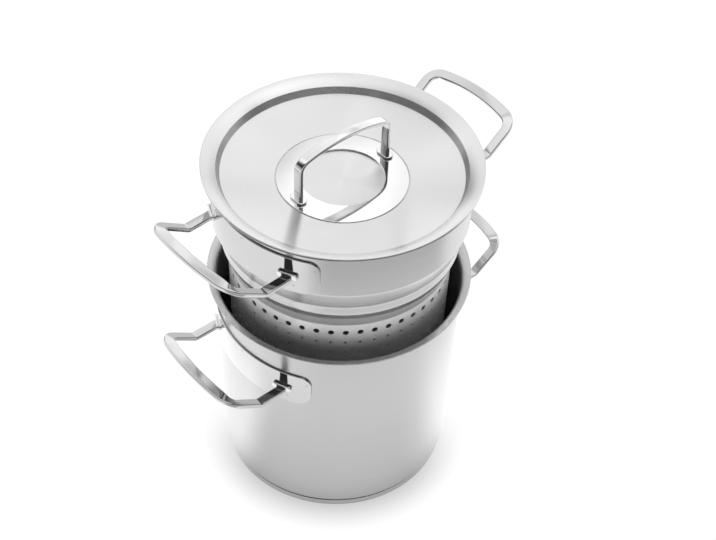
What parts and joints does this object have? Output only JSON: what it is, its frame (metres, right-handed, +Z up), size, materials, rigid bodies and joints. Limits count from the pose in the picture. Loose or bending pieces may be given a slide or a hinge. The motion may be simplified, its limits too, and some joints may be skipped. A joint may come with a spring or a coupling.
{
  "type": "asparagus pot",
  "caption": "Tall round stainless steel pot with a lift-out perforated strainer insert, loop side handles and a sunken lid with a bow handle.",
  "frame": {"origin": "on the floor under the middle of the pot", "axes": "+Z up along the pot's axis, the pot's side handles along X"},
  "size_m": [0.3034, 0.2154, 0.3332],
  "materials": {
    "brushed_steel": "satin stainless steel, brushed round the axis",
    "polished_steel": "mirror-polished stainless steel",
    "aluminium": "bare cast disc, sealed inside the base"
  },
  "bodies": {
    "pot": {"pot_shell": "brushed_steel", "base_cap": "brushed_steel", "base_core": "aluminium", "pot_handle_plate_left": "polished_steel", "pot_handle_plate_right": "polished_steel", "pot_handle_foot_left_front": "polished_steel", "pot_handle_foot_left_back": "polished_steel", "pot_handle_foot_right_front": "polished_steel", "pot_handle_foot_right_back": "polished_steel", "pot_handle_left": "polished_steel", "pot_handle_right": "polished_steel"},
    "strainer": {"strainer_shell": "brushed_steel", "strainer_handle_plate_left": "polished_steel", "strainer_handle_plate_right": "polished_steel", "strainer_handle_foot_left_front": "polished_steel", "strainer_handle_foot_left_back": "polished_steel", "strainer_handle_foot_right_front": "polished_steel", "strainer_handle_foot_right_back": "polished_steel", "strainer_handle_left": "polished_steel", "strainer_handle_right": "polished_steel"},
    "lid": {"lid_shell": "brushed_steel", "lid_ring": "polished_steel", "lid_handle": "polished_steel", "lid_handle_foot_left": "polished_steel", "lid_handle_foot_right": "polished_steel"}
  },
  "joints": [
    {"name": "strainer_lift", "type": "slide", "parent": "pot", "child": "strainer", "axis": [0, 0, 1], "range_m": [-0.0649, 0.13]},
    {"name": "lid_lift", "type": "slide", "parent": "strainer", "child": "lid", "axis": [0, 0, 1], "range_m": [0, 0.12]}
  ]
}
